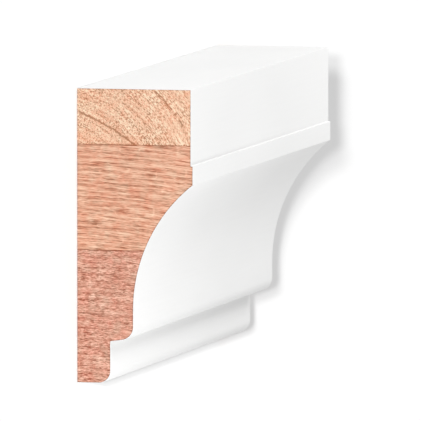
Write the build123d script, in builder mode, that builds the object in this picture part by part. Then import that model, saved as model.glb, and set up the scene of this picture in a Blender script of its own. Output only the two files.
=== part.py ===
from build123d import *
import math
import os

# A short sample of profiled fascia moulding, glued up from three wooden lamellae and planed to one section.
# It lies on its flat back face. X runs down the board, from its top edge to its foot. Y runs along the board.
# Z runs out of the back face, towards the moulded side. The origin is the middle of the back face. Millimetres.

LENGTH = 300.0  # between the two square-sawn ends
HEIGHT = 145.0  # from the top edge to the foot edge
DEPTH = 58.5  # from the back face to the bead, which stands furthest out

# The moulded side, from the top down: a flat fascia that takes what the other bands leave of HEIGHT,
# then the bead, the cove, the nose, and the thin foot set back under the nose.
BEAD_HEIGHT = 9.5
BEAD_PROJECTION = 1.0  # the bead stands this far out of the fascia
COVE_HEIGHT = 62.0
NOSE_HEIGHT = 15.5  # from the end of the cove to the level of the undercut at the foot's face
NOSE_OVERHANG = 11.5  # the nose stands this far out of the foot
NOSE_RADIUS = 6.5
UNDERCUT_SLOPE = 8.0  # degrees by which the nose's underside rises towards its front
FOOT_HEIGHT = 20.5
FOOT_DEPTH = 17.0
FOOT_RADIUS = 6.0

# The glue-up. The bottom lamella takes what the other two leave of HEIGHT.
TOP_LAMELLA_HEIGHT = 27.5
MIDDLE_LAMELLA_HEIGHT = 52.0

# Levels down the board, along X.
top_edge = -HEIGHT / 2
foot_edge = HEIGHT / 2
undercut = foot_edge - FOOT_HEIGHT
cove_end = undercut - NOSE_HEIGHT
bead_bottom = cove_end - COVE_HEIGHT
bead_top = bead_bottom - BEAD_HEIGHT

# Depths from the back face, along Z.
fascia_depth = DEPTH - BEAD_PROJECTION
nose_depth = FOOT_DEPTH + NOSE_OVERHANG
nose_corner = undercut - NOSE_OVERHANG * math.tan(math.radians(UNDERCUT_SLOPE))


def round_that_fits(radius, corner_angle, *walls):
    """The radius, or less where the shorter wall beside the corner has no room for the whole round."""
    room = 0.95 * min(walls)
    return min(radius, room * math.tan(math.radians(corner_angle / 2)))


nose_round = round_that_fits(NOSE_RADIUS, 90 + UNDERCUT_SLOPE, nose_corner - cove_end, NOSE_OVERHANG)
foot_round = round_that_fits(FOOT_RADIUS, 90, FOOT_DEPTH, FOOT_HEIGHT)

# The whole section. The cove is one arc that leaves the nose's face tangentially and ends at the bead.
with BuildSketch(Plane.XZ) as section:
    with BuildLine():
        upper = Polyline(
            (foot_edge, 0),
            (top_edge, 0),
            (top_edge, fascia_depth),
            (bead_top, fascia_depth),
            (bead_top, DEPTH),
            (bead_bottom, DEPTH),
        )
        cove = TangentArc((cove_end, nose_depth), upper @ 1, tangent=(-1, 0))
        Polyline(
            cove @ 0,
            (nose_corner, nose_depth),
            (undercut, FOOT_DEPTH),
            (foot_edge, FOOT_DEPTH),
            upper @ 0,
        )
    make_face()
    fillet(section.vertices().sort_by_distance((nose_corner, nose_depth))[0], nose_round)
    fillet(section.vertices().sort_by_distance((foot_edge, FOOT_DEPTH))[0], foot_round)

# The two glue lines part the section into the three lamellae.
upper_glue_line = top_edge + TOP_LAMELLA_HEIGHT
lower_glue_line = upper_glue_line + MIDDLE_LAMELLA_HEIGHT
lamellae = {
    "top_lamella": (top_edge, upper_glue_line),
    "middle_lamella": (upper_glue_line, lower_glue_line),
    "bottom_lamella": (lower_glue_line, foot_edge),
}

os.makedirs("parts", exist_ok=True)
for name, (start, end) in lamellae.items():
    with BuildPart() as lamella:
        with BuildSketch(Plane.XZ):
            add(section.sketch_local)
            with Locations(((start + end) / 2, DEPTH / 2)):
                Rectangle(end - start, DEPTH, mode=Mode.INTERSECT)
        extrude(amount=LENGTH / 2, both=True)
    lamella.part.label = name
    export_step(lamella.part, f"parts/{name}.step")
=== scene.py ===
import math

import bpy
from mathutils import Matrix, Vector
from mathutils.geometry import delaunay_2d_cdt
from mathutils.kdtree import KDTree


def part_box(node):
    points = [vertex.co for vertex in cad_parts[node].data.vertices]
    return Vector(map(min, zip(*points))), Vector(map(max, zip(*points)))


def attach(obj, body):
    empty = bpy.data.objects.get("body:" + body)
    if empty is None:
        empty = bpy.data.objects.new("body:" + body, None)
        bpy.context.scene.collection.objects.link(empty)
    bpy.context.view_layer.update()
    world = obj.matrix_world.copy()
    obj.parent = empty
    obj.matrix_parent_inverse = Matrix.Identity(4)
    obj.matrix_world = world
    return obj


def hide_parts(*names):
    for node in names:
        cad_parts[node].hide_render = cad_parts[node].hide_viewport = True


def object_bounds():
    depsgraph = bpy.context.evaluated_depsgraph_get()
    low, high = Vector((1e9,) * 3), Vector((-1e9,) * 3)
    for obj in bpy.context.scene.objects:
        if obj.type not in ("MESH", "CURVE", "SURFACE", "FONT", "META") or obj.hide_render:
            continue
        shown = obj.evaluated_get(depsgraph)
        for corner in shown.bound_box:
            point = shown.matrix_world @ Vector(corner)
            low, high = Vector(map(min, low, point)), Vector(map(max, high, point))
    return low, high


# A short length of fascia moulding, glued up from three lamellae, lies on its flat back. X runs down the
# board from its top edge, Y along it and Z out of its back. Lengths are in metres, as the frame is, unless
# named otherwise.

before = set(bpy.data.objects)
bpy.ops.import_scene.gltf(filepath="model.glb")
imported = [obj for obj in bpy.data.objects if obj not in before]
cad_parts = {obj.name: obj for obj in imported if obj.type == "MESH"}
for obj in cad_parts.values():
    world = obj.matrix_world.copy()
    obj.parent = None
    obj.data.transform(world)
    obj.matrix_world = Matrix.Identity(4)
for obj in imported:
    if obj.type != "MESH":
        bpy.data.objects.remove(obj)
cad_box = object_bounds()
MM = 0.001

# The section's levels, from the frame where a solid gives them.
(top_edge, near_end, back), (foot_edge, far_end, bead_face) = cad_box
fascia_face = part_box("top_lamella")[1].z
upper_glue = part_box("top_lamella")[1].x
lower_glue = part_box("middle_lamella")[1].x

BEAD_HEIGHT = 9.5 * MM
COVE_HEIGHT = 62.0 * MM
NOSE_HEIGHT = 15.5 * MM
NOSE_OVERHANG = 11.5 * MM
NOSE_RADIUS = 6.5 * MM
UNDERCUT_SLOPE = math.radians(8.0)
FOOT_HEIGHT = 20.5 * MM
FOOT_DEPTH = 17.0 * MM
FOOT_RADIUS = 6.0 * MM

ARRIS = 0.25 * MM  # the radius to which sanding takes the sharp edges
CREASE = 0.25 * MM  # the radius of paint that gathers in the inner corners
COAT = 0.2 * MM  # the thickness of the primer
CORE_DEPTH = 0.95 * COAT  # at which the wood starts, so that it just meets the coat
END_DEPTH = COAT / 4  # at which the sawn ends lie between the coat's two cut edges
COVE_STEP = math.radians(1.0)
ARC_STEP = math.radians(9.0)
SHARP_TURN = math.radians(35.0)  # between faces, and past it their edge is shaded as sharp
GRAIN_PITCH = 0.36 * MM  # between the points that carry the relief of a sawn end
EDGE_GAP = 0.6 * GRAIN_PITCH  # that those points keep from the end's edge
RELIEF = 0.09 * MM  # from the palest to the darkest grain


def rounded(corners):
    """A closed outline through the corners (x, z, radius), with each round as an arc."""
    points = []
    for index, (x, z, radius) in enumerate(corners):
        corner = Vector((x, z))
        if not radius:
            points.append(corner)
            continue
        before = (Vector(corners[index - 1][:2]) - corner).normalized()
        after = (Vector(corners[(index + 1) % len(corners)][:2]) - corner).normalized()
        half = before.angle(after) / 2
        start = corner + before * radius / math.tan(half)
        centre = corner + (before + after).normalized() * radius / math.sin(half)
        sweep = before.angle_signed(-after)
        steps = max(3, math.ceil(abs(sweep) / ARC_STEP))
        for step in range(steps + 1):
            turned = Matrix.Rotation(-sweep * step / steps, 2) @ (start - centre)
            points.append(centre + turned)
    return points


def section():
    """The outline of the primed section, anticlockwise in (x, z) from the foot's back corner."""
    undercut = foot_edge - FOOT_HEIGHT
    cove_end = undercut - NOSE_HEIGHT
    bead_bottom = cove_end - COVE_HEIGHT
    bead_top = bead_bottom - BEAD_HEIGHT
    foot_face = back + FOOT_DEPTH
    nose_face = foot_face + NOSE_OVERHANG
    nose_corner = undercut - NOSE_OVERHANG * math.tan(UNDERCUT_SLOPE)
    # The cove is an arc that starts along the nose's face and ends at the bead's lower corner.
    rise = bead_face - nose_face
    radius = (COVE_HEIGHT**2 + rise**2) / (2 * rise)
    span = math.asin(COVE_HEIGHT / radius)
    steps = round(span / COVE_STEP)
    angles = [span * step / steps for step in range(steps)]
    cove = [
        (cove_end - radius * math.sin(a), nose_face + radius * (1 - math.cos(a)), 0) for a in angles
    ]
    return rounded(
        [
            (foot_edge, back, ARRIS),
            (foot_edge, foot_face, FOOT_RADIUS),
            (undercut, foot_face, CREASE),
            (nose_corner, nose_face, NOSE_RADIUS),
            *cove,
            (bead_bottom, bead_face, ARRIS),
            (bead_top, bead_face, ARRIS),
            (bead_top, fascia_face, CREASE),
            (top_edge, fascia_face, ARRIS),
            (top_edge, back, ARRIS),
        ]
    )


def inset(outline, depth):
    """The outline moved inwards by depth, point for point."""
    moved = []
    for index, point in enumerate(outline):
        before = (point - outline[index - 1]).normalized()
        after = (outline[(index + 1) % len(outline)] - point).normalized()
        inwards = Vector((-before.y - after.y, before.x + after.x)).normalized()
        half_turn = before.angle(after) / 2
        moved.append(point + inwards * depth / math.cos(half_turn))
    return moved


def clipped(outline, level, keep):
    """The part of the outline above the level in x, for keep 1, or below it, for keep -1."""
    kept = []
    for index, point in enumerate(outline):
        last = outline[index - 1]
        inside, was_inside = (keep * (p.x - level) > 0 for p in (point, last))
        if inside != was_inside:
            kept.append(last.lerp(point, (level - last.x) / (point.x - last.x)))
        if inside:
            kept.append(point)
    return kept


def divided(outline, pitch):
    """The outline with its long sides divided, so that none is longer than pitch."""
    points = []
    for index, point in enumerate(outline):
        last = outline[index - 1]
        steps = max(1, math.ceil((point - last).length / pitch))
        points += [last.lerp(point, step / steps) for step in range(1, steps + 1)]
    return points


def link(item):
    bpy.context.scene.collection.objects.link(item)
    return item


def make_piece(name, points, faces, material):
    mesh = bpy.data.meshes.new(name)
    mesh.from_pydata(points, [], faces)
    mesh.validate()
    mesh.shade_smooth()
    mesh.set_sharp_from_angle(angle=SHARP_TURN)
    mesh.materials.append(material)
    return link(bpy.data.objects.new(name, mesh))


def make_lamella(name, outline, material):
    """A lamella whose two sawn ends are fine nets of points, for the relief of the grain."""
    edge = divided(outline, GRAIN_PITCH)
    rim = KDTree(len(edge))
    for index, point in enumerate(edge):
        rim.insert((*point, 0), index)
    rim.balance()
    low = Vector((min(p.x for p in edge), min(p.y for p in edge)))
    high = Vector((max(p.x for p in edge), max(p.y for p in edge)))
    inner = []
    for row in range(1, int((high.x - low.x) / GRAIN_PITCH)):
        x = low.x + row * GRAIN_PITCH
        # Where this row meets the outline: it enters and leaves the section once.
        meets = [
            a.y + (b.y - a.y) * (x - a.x) / (b.x - a.x)
            for a, b in zip(edge, edge[1:] + edge[:1])
            if (a.x - x) * (b.x - x) < 0
        ]
        if len(meets) < 2:
            continue
        start, end = min(meets), max(meets)
        shift = 0.5 * (row % 2)
        for column in range(int((end - start) / GRAIN_PITCH)):
            point = Vector((x, start + (column + 0.5 + shift) * GRAIN_PITCH))
            if point.y < end and rim.find((*point, 0))[2] > EDGE_GAP:
                inner.append(point)
    sides = [(i, (i + 1) % len(edge)) for i in range(len(edge))]
    flat, _, triangles, *_ = delaunay_2d_cdt(edge + inner, sides, [], 1, 1e-9)
    count = len(flat)
    points = [(x, y, z) for y in (near_end + END_DEPTH, far_end - END_DEPTH) for x, z in flat]
    near = [tuple(t) for t in triangles]
    far = [tuple(i + count for i in reversed(t)) for t in triangles]
    used = {pair for t in near for pair in zip(t, t[1:] + t[:1])}
    border = [(a, b) for a, b in used if (b, a) not in used]
    walls = [(b, a, a + count, b + count) for a, b in border]
    piece = make_piece(name, points, near + far + walls, material)
    # How far each point lies from the end's edge, for both ends.
    from_rim = 2 * [rim.find((x, z, 0))[2] / MM for x, z in flat]
    piece.data.attributes.new("rim", "FLOAT", "POINT").data.foreach_set("value", from_rim)
    return piece


def make_coat(name, outer, inner, material):
    """The primer: a thin sleeve round the long faces, cut square with the ends."""
    count = len(outer)
    points = []
    for outline in (outer, inner):
        for y in (near_end, far_end):
            points += [(p.x, y, p.y) for p in outline]
    outer_near, outer_far, inner_near, inner_far = (ring * count for ring in range(4))
    faces = []
    for i in range(count):
        j = (i + 1) % count
        faces.append((outer_near + j, outer_near + i, outer_far + i, outer_far + j))
        faces.append((inner_near + i, inner_near + j, inner_far + j, inner_far + i))
        faces.append((outer_near + i, outer_near + j, inner_near + j, inner_near + i))
        faces.append((outer_far + j, outer_far + i, inner_far + i, inner_far + j))
    return make_piece(name, points, faces, material)


class Nodes:
    """Adds nodes to a shader's or a modifier's tree. Inputs are numbers, colours or other nodes' outputs."""

    def __init__(self, tree):
        self.tree = tree

    def add(self, kind, output=0, inputs=None, **settings):
        node = self.tree.nodes.new(kind)
        for key, value in settings.items():
            setattr(node, key, value)
        for key, value in (inputs or {}).items():
            if isinstance(value, bpy.types.NodeSocket):
                self.tree.links.new(value, node.inputs[key])
            else:
                node.inputs[key].default_value = value
        return node.outputs[output]

    def math(self, operation, *values):
        return self.add("ShaderNodeMath", inputs=dict(enumerate(values)), operation=operation)

    def vector(self, x, y, z):
        return self.add("ShaderNodeCombineXYZ", inputs={0: x, 1: y, 2: z})

    def noise(self, vector, detail=2.0):
        """Smooth noise of about -1 to 1, whose features are about one unit of vector wide."""
        value = self.add("ShaderNodeTexNoise", inputs={"Vector": vector, "Scale": 1.0, "Detail": detail})
        return self.math("MULTIPLY_ADD", value, 4.0, -2.0)

    def stretch(self, value, low, high, to_low=0.0, to_high=1.0, smooth=False):
        """The value, with low to high taken to to_low to to_high and held there beyond."""
        inputs = {0: value, 1: low, 2: high, 3: to_low, 4: to_high}
        kind = "SMOOTHSTEP" if smooth else "LINEAR"
        return self.add("ShaderNodeMapRange", inputs=inputs, interpolation_type=kind)

    def total(self, *parts):
        """The sum of (weight, value) pairs."""
        result = 0.0
        for weight, value in parts:
            result = self.math("MULTIPLY_ADD", value, weight, result)
        return result

    def ramp(self, value, stops):
        ramp = self.tree.nodes.new("ShaderNodeValToRGB")
        self.tree.links.new(value, ramp.inputs[0])
        elements = ramp.color_ramp.elements
        while len(elements) < len(stops):
            elements.new(0.5)
        for element, (place, colour) in zip(elements, stops):
            element.position = place
            element.color = (*colour, 1)
        return ramp.outputs[0]


def linear(red, green, blue):
    """A colour as shown on a screen, 0 to 255, as the shaders take it."""
    shares = (value / 255 for value in (red, green, blue))
    return tuple(s / 12.92 if s <= 0.04045 else ((s + 0.055) / 1.055) ** 2.4 for s in shares)


# How each lamella's grain lies. heart is the middle of its growth rings, in millimetres out of the back face
# and down from the top edge. Sizes are in millimetres, and a share is of the grain's tone. A ring is
# (spacing, how far it strays, share). A mottle is (across the rings, along them, share), and a line has the
# same three after the part of its noise that it takes up. A mark is one arc of darker or paler wood, or of
# glue: (its middle, radius, half width, length of its dashes, how broken it is, from -1 to 1, share).
TOP_HEART = (-12.9, 59.7)
GRAINS = {
    "top_lamella": dict(
        heart=TOP_HEART,
        rings=[(5.0, 0.8, 0.14), (2.3, 0.5, 0.17)],
        mottles=[(0.48, 0.66, 1.20), (0.8, 2.6, 0.30), (4.5, 16.0, 0.20)],
        lines=[(0.10, 2.6, 7.0, -0.30)],
        marks=[
            ((-33.0, 105.9), 100.0, 0.40, 2.0, -0.9, -1.6),
            (TOP_HEART, 73.8, 0.50, 2.2, 0.0, 1.2),
            (TOP_HEART, 78.6, 0.35, 1.4, 0.0, -1.6),
            (TOP_HEART, 79.5, 0.45, 2.0, 0.0, 1.3),
        ],
        tones=((184, 133, 101), (247, 195, 163), (255, 232, 202)),
        seed=3.0,
    ),
    "middle_lamella": dict(
        heart=(-20.0, 640.0),
        rings=[(2.85, 0.9, 0.30), (1.15, 0.35, 0.20)],
        mottles=[(0.33, 7.0, 0.78), (0.40, 2.2, 0.36), (5.0, 30.0, 0.16)],
        lines=[(0.13, 1.8, 40.0, -0.7), (0.12, 2.4, 14.0, 0.5)],
        marks=[((28.0, -972.2), 1000.0, 0.28, 6.0, -0.1, -1.2)],
        tones=((170, 113, 85), (231, 173, 144), (255, 212, 182)),
        seed=17.0,
    ),
    "bottom_lamella": dict(
        heart=(-15.0, 760.0),
        rings=[(3.25, 0.9, 0.22), (1.25, 0.40, 0.16)],
        mottles=[(0.35, 2.7, 1.00), (0.38, 1.1, 0.36), (6.0, 16.0, 0.20)],
        lines=[(0.13, 2.0, 16.0, -0.6), (0.10, 2.8, 5.0, 0.5)],
        marks=[((28.0, -920.2), 1000.0, 0.26, 5.0, 0.1, -0.9)],
        tones=((158, 99, 76), (215, 156, 133), (254, 204, 181)),
        seed=41.0,
    ),
}
# A place near the middle of the end, out and down, at which the lengths round the rings are true.
TRUE_OUT = 25.0
TRUE_DOWN = 50.0
ALONG = 180.0  # millimetres along the board over which the pattern changes
LAYER_STEP = 31.0  # between the places in the noise that two layers of the pattern use
# How the rings and the marks waver, in millimetres: by how much, and how wide and how long the waves are.
WAVER = 0.2
RING_WAVES = (9.0, 20.0)
MARK_WAVES = (3.0, 3.0)
STRAY_LENGTH = 22.0  # millimetres along a ring over which it strays
# The mottles are stronger in some patches, by this share, and the patches are this wide and long.
PATCH_SHARE = 0.3
PATCHES = (7.0, 9.0)
DASH_WIDTH = 20.0  # millimetres across the rings, so wide that a gap cuts through all of a mark
DASH_EDGE = 0.3  # of the noise, over which a dash ends
DASH_GAP = 0.1  # what is left of a mark between its dashes
# Painted shade: each sawn end is darkened along its edge, where the wood meets the primer.
EDGE_SHADE_WIDTH = 0.6  # millimetres from the end's edge over which the painted shade fades out
EDGE_SHADE_SHARE = -0.8


def grain_tone(nodes, position, rim, grain):
    """The grain's tone at a place, from about -1 in dark pores and late wood to 1 in pale early wood."""
    x, y, z = (nodes.add("ShaderNodeSeparateXYZ", i, {0: position}) for i in range(3))
    down = nodes.math("MULTIPLY_ADD", x, 1 / MM, -top_edge / MM)
    out = nodes.math("DIVIDE", z, MM)
    along = nodes.math("MULTIPLY_ADD", y, 1 / (MM * ALONG), grain["seed"])
    heart_out, heart_down = grain["heart"]
    out_of_heart = nodes.math("SUBTRACT", out, heart_out)
    below_heart = nodes.math("SUBTRACT", down, heart_down)
    squares = nodes.math("MULTIPLY_ADD", out_of_heart, out_of_heart, nodes.math("POWER", below_heart, 2.0))
    angle = nodes.math("ARCTAN2", below_heart, out_of_heart)
    around = nodes.math("MULTIPLY", angle, math.hypot(heart_out - TRUE_OUT, heart_down - TRUE_DOWN))
    steady = nodes.math("SQRT", squares)
    waves_out = nodes.math("DIVIDE", steady, RING_WAVES[0])
    waves_around = nodes.math("DIVIDE", around, RING_WAVES[1])
    waves = nodes.noise(nodes.vector(waves_out, waves_around, along))
    radius = nodes.math("MULTIPLY_ADD", waves, WAVER, steady)
    layers = 0

    def layer(size_across, size_around, detail=0.0):
        """Noise that follows the rings, with features as wide and as long as the two sizes."""
        nonlocal layers
        layers += 1
        across = nodes.math("MULTIPLY_ADD", radius, 1 / size_across, LAYER_STEP * layers)
        return nodes.noise(nodes.vector(across, nodes.math("DIVIDE", around, size_around), along), detail)

    parts = []
    for spacing, stray, share in grain["rings"]:
        strayed = nodes.math("MULTIPLY_ADD", layer(2 * spacing, STRAY_LENGTH), stray, radius)
        parts.append((share, nodes.math("SINE", nodes.math("MULTIPLY", strayed, 2 * math.pi / spacing))))
    patches = nodes.math("MULTIPLY_ADD", layer(*PATCHES), PATCH_SHARE, 1.0)
    for across, length, share in grain["mottles"]:
        parts.append((share, nodes.math("MULTIPLY", layer(across, length, 1.0), patches)))
    for width, across, length, share in grain["lines"]:
        distance = nodes.math("ABSOLUTE", layer(across, length))
        parts.append((share, nodes.stretch(distance, 0.0, width, 1.0, 0.0)))
    for (mark_out, mark_down), ring, half_width, length, broken, share in grain["marks"]:
        sideways = nodes.math("SUBTRACT", out, mark_out)
        spoke = nodes.vector(sideways, nodes.math("SUBTRACT", down, mark_down), 0.0)
        from_mark = nodes.add("ShaderNodeVectorMath", "Value", {0: spoke}, operation="LENGTH")
        off_ring = nodes.math("SUBTRACT", from_mark, ring)
        wavering = nodes.math("MULTIPLY_ADD", layer(*MARK_WAVES), WAVER, off_ring)
        distance = nodes.math("ABSOLUTE", wavering)
        line = nodes.stretch(distance, 0.0, 2 * half_width, 1.0, 0.0, smooth=True)
        dash = layer(DASH_WIDTH, length)
        dashes = nodes.stretch(dash, broken - DASH_EDGE, broken + DASH_EDGE, DASH_GAP, 1.0)
        parts.append((share, nodes.math("MULTIPLY", line, dashes)))
    # The painted shade along the end's edge. Through the tone it also sinks the relief and changes the
    # roughness there.
    parts.append((EDGE_SHADE_SHARE, nodes.stretch(rim, 0.0, EDGE_SHADE_WIDTH, 1.0, 0.0, smooth=True)))
    return nodes.total(*parts)


def new_material(name):
    material = bpy.data.materials.new(name)
    material.use_nodes = True
    shader = material.node_tree.nodes["Principled BSDF"]
    return material, Nodes(material.node_tree), shader


def connect(nodes, shader, colour, tone, roughness, specular, height, bump):
    """Joins a material's colour, sheen and fine relief to its shader."""
    strength, distance = bump
    relief = {"Strength": strength, "Distance": distance, "Height": height}
    parts = {
        "Base Color": colour,
        "Roughness": nodes.stretch(tone, -1.0, 1.0, *roughness),
        "Normal": nodes.add("ShaderNodeBump", inputs=relief),
    }
    for name, output in parts.items():
        nodes.tree.links.new(output, shader.inputs[name])
    shader.inputs["Specular IOR Level"].default_value = specular


BLUSH = 4.0 * MM  # the size of the patches that are a little yellower and duller, or redder and fuller
BLUSH_HUE = 0.008
BLUSH_SATURATION = -0.10
WOOD_ROUGHNESS = (0.85, 0.6)  # of the darkest and of the palest grain
WOOD_SPECULAR = 0.25
WOOD_BUMP = (0.25, 0.08 * MM)  # the strength and the height of the relief too fine for the mesh


def wood_material(name, grain):
    material, nodes, shader = new_material(name)
    position = nodes.add("ShaderNodeTexCoord", "Object")
    rim = nodes.add("ShaderNodeAttribute", "Fac", attribute_name="rim")
    tone = grain_tone(nodes, position, rim, grain)
    dark, usual, pale = (linear(*colour) for colour in grain["tones"])
    colour = nodes.ramp(nodes.stretch(tone, -1.0, 1.0), [(0.0, dark), (0.5, usual), (1.0, pale)])
    scale = {0: position, "Scale": 1 / BLUSH}
    blush = nodes.noise(nodes.add("ShaderNodeVectorMath", inputs=scale, operation="SCALE"))
    tint = {
        "Color": colour,
        "Hue": nodes.math("MULTIPLY_ADD", blush, BLUSH_HUE, 0.5),
        "Saturation": nodes.math("MULTIPLY_ADD", blush, BLUSH_SATURATION, 1.0),
    }
    colour = nodes.add("ShaderNodeHueSaturation", inputs=tint)
    connect(nodes, shader, colour, tone, WOOD_ROUGHNESS, WOOD_SPECULAR, tone, WOOD_BUMP)
    return material


# The patterns of the primer, each by its spans in x, y and z, in millimetres.
PEEL = (1.6, 1.6, 1.6)
FIBRES = (0.9, 55.0, 0.9)
CLOUDS = (45.0, 90.0, 45.0)
PRIMER_GREYS = [(0.0, (0.85, 0.85, 0.845)), (1.0, (0.89, 0.89, 0.885))]
PRIMER_ROUGHNESS = (0.68, 0.5)
PRIMER_SPECULAR = 0.3
PRIMER_BUMP = (0.3, 0.03 * MM)


def primer_material(name):
    """Sprayed primer: a fine orange peel, and under it the long fibres of the wood."""
    material, nodes, shader = new_material(name)
    position = nodes.add("ShaderNodeTexCoord", "Object")

    def pattern(spans):
        scale = {0: position, 1: [1 / (span * MM) for span in spans]}
        return nodes.noise(nodes.add("ShaderNodeVectorMath", inputs=scale, operation="MULTIPLY"), 1.0)

    peel, fibres, clouds = (pattern(spans) for spans in (PEEL, FIBRES, CLOUDS))
    height = nodes.total((0.5, peel), (0.5, fibres))
    tone = nodes.total((0.5, clouds), (0.25, fibres), (0.15, peel))
    shade = nodes.ramp(nodes.stretch(tone, -1.0, 1.0), PRIMER_GREYS)
    connect(nodes, shader, shade, tone, PRIMER_ROUGHNESS, PRIMER_SPECULAR, height, PRIMER_BUMP)
    return material


def add_relief(piece, grain):
    """Sinks the dark grain of the sawn ends a little below the pale."""
    tree = bpy.data.node_groups.new(piece.name + "_relief", "GeometryNodeTree")
    tree.interface.new_socket("Geometry", in_out="INPUT", socket_type="NodeSocketGeometry")
    tree.interface.new_socket("Geometry", in_out="OUTPUT", socket_type="NodeSocketGeometry")
    nodes = Nodes(tree)
    mesh = nodes.add("NodeGroupInput")
    position = nodes.add("GeometryNodeInputPosition")
    rim = nodes.add("GeometryNodeInputNamedAttribute", inputs={"Name": "rim"}, data_type="FLOAT")
    tone = grain_tone(nodes, position, rim, grain)
    end = nodes.math("SIGN", nodes.add("ShaderNodeSeparateXYZ", 1, {0: position}))
    sunk = nodes.stretch(tone, -1.0, 1.0, -RELIEF, 0.0)
    offset = nodes.vector(0.0, nodes.math("MULTIPLY", end, sunk), 0.0)
    moved = nodes.add("GeometryNodeSetPosition", inputs={"Geometry": mesh, "Offset": offset})
    tree.links.new(moved, tree.nodes.new("NodeGroupOutput").inputs[0])
    piece.modifiers.new("relief", "NODES").node_group = tree


def build_board():
    outer = section()
    inner = inset(outer, COAT)
    core = inset(outer, CORE_DEPTH)
    spans = {
        "top_lamella": (None, upper_glue),
        "middle_lamella": (upper_glue, lower_glue),
        "bottom_lamella": (lower_glue, None),
    }
    board = []
    for node, (start, end) in spans.items():
        outline = core
        if start is not None:
            outline = clipped(outline, start, 1)
        if end is not None:
            outline = clipped(outline, end, -1)
        material = wood_material(node + "_wood", GRAINS[node])
        piece = make_lamella(node + "_grained", outline, material)
        add_relief(piece, GRAINS[node])
        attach(piece, "root")
        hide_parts(node)
        board.append(piece)
    coat = make_coat("primer_coat", outer, inner, primer_material("white_primer"))
    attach(coat, "root")
    return [*board, coat]


# The picture, taken from nearly in front of the near end, with a lens so long that edges stay all but
# parallel.
VIEW_TURN = math.radians(13.3)  # off the board's length, towards the moulded side
VIEW_RISE = math.radians(4.6)  # and towards the top edge
VIEW_SPAN = 209.5 * MM  # the width that the picture takes in at the board's middle
MIDDLE_LEFT = 2.6 * MM  # how far left of the picture's middle the board's middle stands
MIDDLE_DOWN = 1.0 * MM  # and how far below it
LENS = 1700.0  # millimetres, on a sensor 36 mm wide
SENSOR = 36.0
NEAREST = 0.1  # metres from the camera at which things show


def towards(turn, rise):
    """The direction off the near end that turns to the moulded side and rises to the top edge."""
    return Vector((-math.sin(rise), -math.cos(turn) * math.cos(rise), math.sin(turn) * math.cos(rise)))


middle = (cad_box[0] + cad_box[1]) / 2
to_camera = towards(VIEW_TURN, VIEW_RISE)
picture_up = (Vector((-1, 0, 0)) + to_camera * to_camera.x).normalized()
picture_right = picture_up.cross(to_camera)


def add_camera():
    data = bpy.data.cameras.new("camera")
    data.lens = LENS
    data.sensor_width = SENSOR
    distance = VIEW_SPAN * LENS / SENSOR
    data.clip_start = NEAREST
    data.clip_end = 3 * distance
    camera = link(bpy.data.objects.new("camera", data))
    aim = middle + picture_right * MIDDLE_LEFT + picture_up * MIDDLE_DOWN
    turn = Matrix((picture_right, picture_up, to_camera)).transposed().to_4x4()
    camera.matrix_world = Matrix.Translation(aim + to_camera * distance) @ turn
    bpy.context.scene.camera = camera


# The light. A share is what a lamp adds to a white surface that faces it at the board's middle, where 1 is
# white.
AMBIENT = 0.40
BOARD_LAMPS = {
    # name: (position, width, share)
    "foot_side": ((0.28, -0.37, 0.19), 0.2, 0.23),
    "moulded_side": ((0.38, -0.3, 0.38), 0.25, 0.285),
    "top_side": ((-0.9, -0.4, 0.9), 0.5, 0.32),
    "near_top": ((-0.6, -0.5, 0.25), 0.4, 0.18),
    "far_side": ((-0.22, 0.38, 0.28), 0.2, 0.24),
}
# The two low suns shine from nearly behind the camera, so that the shadow that they share shows beside and
# below the board as a narrow one. The high one's shadow lies under the board.
FLOOR_SUNS = {
    # name: (turn and rise in degrees as the camera's, width in degrees, share)
    "overhead": (90.0, 0.0, 10.0, 0.36),
    "drop_beside": (11.6, 5.0, 1.2, 1.2),
    "drop_below": (11.3, 6.8, 1.8, 1.3),
}


def add_lamp(name, position, width, share):
    data = bpy.data.lights.new(name, "AREA")
    data.shape = "DISK"
    data.size = width
    away = Vector(position) - middle
    data.energy = share * math.pi**2 * away.length_squared
    lamp = link(bpy.data.objects.new(name, data))
    lamp.matrix_world = Matrix.Translation(position) @ away.to_track_quat("Z", "Y").to_matrix().to_4x4()
    lamp.visible_camera = False
    return lamp


def add_sun(name, turn, rise, width, share):
    data = bpy.data.lights.new(name, "SUN")
    data.energy = share * math.pi
    data.angle = math.radians(width)
    sun = link(bpy.data.objects.new(name, data))
    sun.rotation_mode = "QUATERNION"
    sun.rotation_quaternion = towards(math.radians(turn), math.radians(rise)).to_track_quat("Z", "Y")
    return sun


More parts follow.
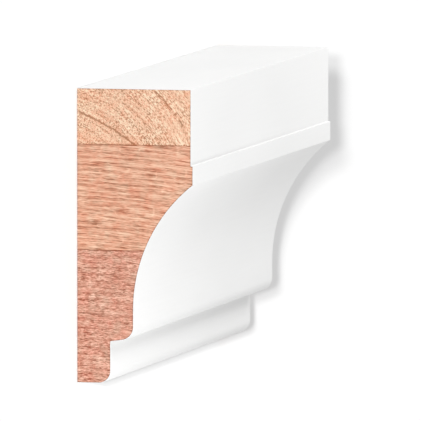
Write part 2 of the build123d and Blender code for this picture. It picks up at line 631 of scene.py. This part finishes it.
def shows_backdrop(nodes):
    """1 for rays that show the backdrop, straight, in gloss or through glass, and 0 for its light."""
    kinds = ("Is Camera Ray", "Is Glossy Ray", "Is Transmission Ray")
    camera, glossy, through = (nodes.add("ShaderNodeLightPath", kind) for kind in kinds)
    return nodes.math("MAXIMUM", camera, nodes.math("MAXIMUM", glossy, through))


def add_light(board, floor):
    """Lights the board and the floor apart: the floor is an even white but for a narrow shadow."""
    for_board = bpy.data.collections.new("lit_by_lamps")
    for_floor = bpy.data.collections.new("lit_by_suns")
    for piece in board:
        for_board.objects.link(piece)
    for_floor.objects.link(floor)
    for name, (position, width, share) in BOARD_LAMPS.items():
        add_lamp(name, position, width, share).light_linking.receiver_collection = for_board
    for name, (turn, rise, width, share) in FLOOR_SUNS.items():
        add_sun(name, turn, rise, width, share).light_linking.receiver_collection = for_floor

    world = bpy.data.worlds.new("studio")
    world.use_nodes = True
    bpy.context.scene.world = world
    nodes = Nodes(world.node_tree)
    background = world.node_tree.nodes["Background"]
    background.inputs["Color"].default_value = (1, 1, 1, 1)
    strength = nodes.stretch(shows_backdrop(nodes), 0.0, 1.0, AMBIENT, 1.0)
    world.node_tree.links.new(strength, background.inputs["Strength"])


FLOOR_REACH = 5.0
FLOOR_GAP = 0.05 * MM  # between the floor and the board's back
FLOOR_SHADE = 0.81  # of the floor as it is seen, which its light just brings to white
FLOOR_BOUNCE = 0.59  # of the floor as it throws light back at the board


def add_floor():
    square = ((-1, -1), (1, -1), (1, 1), (-1, 1))
    corners = [(x * FLOOR_REACH, y * FLOOR_REACH, -FLOOR_GAP) for x, y in square]
    material = bpy.data.materials.new("floor")
    material.use_nodes = True
    nodes = Nodes(material.node_tree)
    surface = material.node_tree.nodes["Material Output"].inputs["Surface"]
    material.node_tree.nodes.remove(material.node_tree.nodes["Principled BSDF"])
    shade = nodes.stretch(shows_backdrop(nodes), 0.0, 1.0, FLOOR_BOUNCE, FLOOR_SHADE)
    paint = nodes.add("ShaderNodeBsdfDiffuse", inputs={"Color": shade})
    material.node_tree.links.new(paint, surface)
    floor = make_piece("floor", corners, [(0, 1, 2, 3)], material)
    return floor


add_camera()
board = build_board()
add_light(board, add_floor())
bpy.context.scene.view_settings.view_transform = "Standard"
